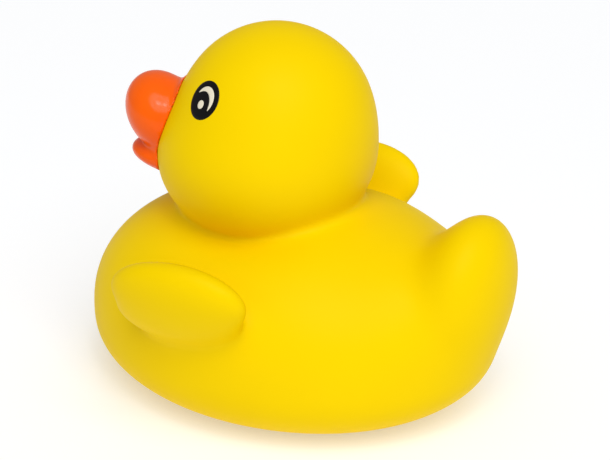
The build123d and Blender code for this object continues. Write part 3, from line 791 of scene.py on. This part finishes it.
def eye_frame(skin, eye, side):
    """Outward, sideways and upward directions of an eye, and its centre on the skin."""
    turn_z = Matrix.Rotation(skin.head_turn, 3, "Z")
    flat = Vector((side * math.sin(eye.azimuth), -math.cos(eye.azimuth), 0))
    outward = flat * math.cos(eye.elevation) + Vector((0, 0, math.sin(eye.elevation)))
    backward = Vector((side * math.cos(eye.azimuth), math.sin(eye.azimuth), 0))
    upward = outward.cross(backward) * side
    lean = eye.lean
    up = upward * math.cos(lean) + backward * math.sin(lean)
    back = backward * math.cos(lean) - upward * math.sin(lean)
    centre = Vector(skin.head_centre) + Vector((0, WELL_Y, 0))
    return centre, turn_z @ outward, turn_z @ back, turn_z @ up


def printed(name, skin_object, axes, rows, lift, material):
    """Lay a grid of points, given along the eye's back and up directions, on the skin as a thin print."""
    centre, outward, back, up = axes
    tree = BVHTree.FromPolygons([v.co for v in skin_object.data.vertices],
                                [p.vertices for p in skin_object.data.polygons])
    shape = bmesh.new()
    grid = []
    for row in rows:
        line = []
        for across, along in row:
            start = centre + outward * EYE_REACH + back * across + up * along
            hit, _, _, _ = tree.ray_cast(start, -outward)
            line.append(shape.verts.new(hit + outward * lift))
        grid.append(line)
    for first, second in zip(grid, grid[1:]):
        for index in range(len(first) - 1):
            shape.faces.new((first[index], first[index + 1], second[index + 1], second[index]))
    bmesh.ops.remove_doubles(shape, verts=shape.verts, dist=MERGE_DISTANCE)
    shape.normal_update()
    if sum(face.normal.dot(outward) for face in shape.faces) < 0:
        bmesh.ops.reverse_faces(shape, faces=shape.faces)
    mesh = bpy.data.meshes.new(name)
    shape.to_mesh(mesh)
    shape.free()
    mesh.shade_smooth()
    mesh.materials.append(material)
    piece = bpy.data.objects.new(name, mesh)
    bpy.context.scene.collection.objects.link(piece)
    body = piece.modifiers.new("ink", "SOLIDIFY")
    body.thickness = lift
    body.offset = -1
    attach(piece, BODY)
    return piece


def oval_rows(half_width, half_height, centre=(0, 0), rings=8, steps=40):
    """Rows of points that fill an oval, from its middle outwards."""
    rows = []
    for ring in range(rings + 1):
        share = ring / rings
        row = []
        for step in range(steps + 1):
            around = 2 * math.pi * step / steps
            row.append((centre[0] + half_width * share * math.cos(around),
                        centre[1] + half_height * share * math.sin(around)))
        rows.append(row)
    return rows


def crescent_rows(half_width, half_height, first, last, thickness, steps=24, across=4):
    """Rows of points that fill a crescent along the inside of an oval."""
    rows = []
    for layer in range(across + 1):
        row = []
        for step in range(steps + 1):
            share = step / steps
            around = first + (last - first) * share
            depth = thickness * math.sin(math.pi * share) ** 0.7 * layer / across
            row.append(((half_width - depth) * math.cos(around), (half_height - depth) * math.sin(around)))
        rows.append(row)
    return rows


class DUCK_OT_build_eyes(bpy.types.Operator):
    """Print both eyes on the head"""
    bl_idname = "duck_dispenser.build_eyes"
    bl_label = "Build Eyes"

    def execute(self, context):
        skin = context.scene.duck_skin
        eye = context.scene.duck_eyes
        colours = context.scene.duck_colours
        surface = bpy.data.objects["duck_skin"]
        ink, ink_shader = moulded("eye_ink", colours.ink, None, (0.4, 0.46), bump=0.004)
        cream, _ = moulded("eye_cream", colours.cream, None, (0.36, 0.42), bump=0.004)
        ink_shader.inputs["Specular IOR Level"].default_value = 0.08
        wide, tall, lift = eye.half_width, eye.half_height, eye.lift
        for side, label in ((1, "left"), (-1, "right")):
            axes = eye_frame(skin, eye, side)
            printed(f"eye_{label}", surface, axes, oval_rows(wide, tall), lift, ink)
            crescent = crescent_rows(wide * eye.glint_width, tall * eye.glint_height, eye.glint_start,
                                     eye.glint_end, wide * eye.glint_depth)
            printed(f"eye_{label}_glint", surface, axes, crescent, lift * eye.glint_lift, cream)
            dot = oval_rows(wide * eye.dot_size, tall * eye.dot_size,
                            (-wide * eye.dot_forward, -tall * eye.dot_down), rings=3, steps=24)
            printed(f"eye_{label}_dot", surface, axes, dot, lift * eye.glint_lift, cream)
        return {"FINISHED"}


class DUCK_OT_finish_fittings(bpy.types.Operator):
    """Give every CAD fitting its own finish"""
    bl_idname = "duck_dispenser.finish_fittings"
    bl_label = "Finish Fittings"

    def execute(self, context):
        colours = context.scene.duck_colours
        looks = {"yellow_vinyl": vinyl_material(), "orange_plastic": beak_material()}
        for slot, (name, tone, finish) in FITTING_FINISHES.items():
            looks[slot], _ = moulded(name, getattr(colours, tone), getattr(colours, tone + "_deep"), **finish)
        for part in frame["record"]["subparts"]:
            node = frame["nodes"][part["node"]]
            node.data.materials.clear()
            node.data.materials.append(looks[part["material_slot"]])
        return {"FINISHED"}


def add_floor(scene, stage):
    """A wide pale floor with a little light of its own, so that it stays near white."""
    half = stage.floor_size / 2
    mesh = bpy.data.meshes.new("floor")
    mesh.from_pydata([(-half, -half, 0), (half, -half, 0), (half, half, 0), (-half, half, 0)], [],
                     [(0, 1, 2, 3)])
    floor = bpy.data.objects.new("floor", mesh)
    scene.collection.objects.link(floor)
    material, _, shader = new_material("pale_floor")
    shader.inputs["Base Color"].default_value = stage.floor_colour
    shader.inputs["Roughness"].default_value = 0.8
    shader.inputs["Specular IOR Level"].default_value = 0.1
    shader.inputs["Emission Color"].default_value = stage.floor_glow_colour
    shader.inputs["Emission Strength"].default_value = stage.floor_glow
    mesh.materials.append(material)


def add_room_light(scene, stage):
    """Even white light from all round."""
    world = bpy.data.worlds.new("studio")
    scene.world = world
    world.use_nodes = True
    sky = world.node_tree.nodes["Background"]
    sky.inputs["Color"].default_value = (1, 1, 1, 1)
    sky.inputs["Strength"].default_value = stage.room_light


def add_camera(scene, stage, target, back):
    """The camera, which looks at the target from behind the duck's left side."""
    data = bpy.data.cameras.new("camera")
    data.lens = stage.focal
    data.clip_end = 50
    camera = bpy.data.objects.new("camera", data)
    camera.location = target + back * stage.distance
    camera.rotation_euler = (-back).to_track_quat("-Z", "Y").to_euler()
    scene.collection.objects.link(camera)
    scene.camera = camera


def add_lamp(scene, data, toward, spot=(0, 0, 0)):
    """A light at a spot, which shines against the direction that it is given."""
    lamp = bpy.data.objects.new(data.name, data)
    lamp.location = spot
    lamp.rotation_euler = toward.to_track_quat("Z", "Y").to_euler()
    scene.collection.objects.link(lamp)


class DUCK_OT_build_stage(bpy.types.Operator):
    """Set the floor, light and camera"""
    bl_idname = "duck_dispenser.build_stage"
    bl_label = "Build Stage"

    def execute(self, context):
        scene = context.scene
        stage = scene.duck_stage
        scene.view_settings.view_transform = "Standard"
        up = Vector((0, 0, 1))
        back = Vector((math.sin(stage.azimuth) * math.cos(stage.elevation),
                       -math.cos(stage.azimuth) * math.cos(stage.elevation), math.sin(stage.elevation)))
        right = up.cross(back).normalized()
        target = Vector(stage.target)
        add_floor(scene, stage)
        add_room_light(scene, stage)
        add_camera(scene, stage, target, back)

        key = bpy.data.lights.new("key", "SUN")
        key.energy = stage.key_power
        key.angle = stage.key_spread
        add_lamp(scene, key, (back + right * stage.key_right + up * stage.key_up).normalized())

        glint = bpy.data.lights.new("glint", "AREA")
        glint.energy = stage.glint_power
        glint.size = stage.glint_size
        reach = right * stage.glint_right + back * stage.glint_back + up * stage.glint_up
        add_lamp(scene, glint, reach, target + reach)
        return {"FINISHED"}


class DUCK_PT_panel(bpy.types.Panel):
    """Buttons that build the dispenser"""
    bl_label = "Duck Dispenser"
    bl_space_type = "VIEW_3D"
    bl_region_type = "UI"
    bl_category = "Duck Dispenser"

    def draw(self, context):
        for operator in OPERATORS:
            self.layout.operator(operator.bl_idname)


GROUPS = {
    "duck_skin": DuckSkinSizes,
    "duck_beak": BeakSizes,
    "duck_eyes": EyeSizes,
    "duck_colours": FinishColours,
    "duck_stage": StageSizes,
}
OPERATORS = (DUCK_OT_finish_fittings, DUCK_OT_build_skin, DUCK_OT_build_beak, DUCK_OT_build_eyes,
             DUCK_OT_build_stage)


def register():
    for cls in (*GROUPS.values(), *OPERATORS, DUCK_PT_panel):
        bpy.utils.register_class(cls)
    for name, group in GROUPS.items():
        setattr(bpy.types.Scene, name, PointerProperty(type=group))


def unregister():
    for name in GROUPS:
        delattr(bpy.types.Scene, name)
    for cls in reversed((*GROUPS.values(), *OPERATORS, DUCK_PT_panel)):
        bpy.utils.unregister_class(cls)


def main():
    register()
    bpy.ops.duck_dispenser.finish_fittings()
    bpy.ops.duck_dispenser.build_skin()
    bpy.ops.duck_dispenser.build_beak()
    bpy.ops.duck_dispenser.build_eyes()
    bpy.ops.duck_dispenser.build_stage()


if __name__ == "__main__":
    main()
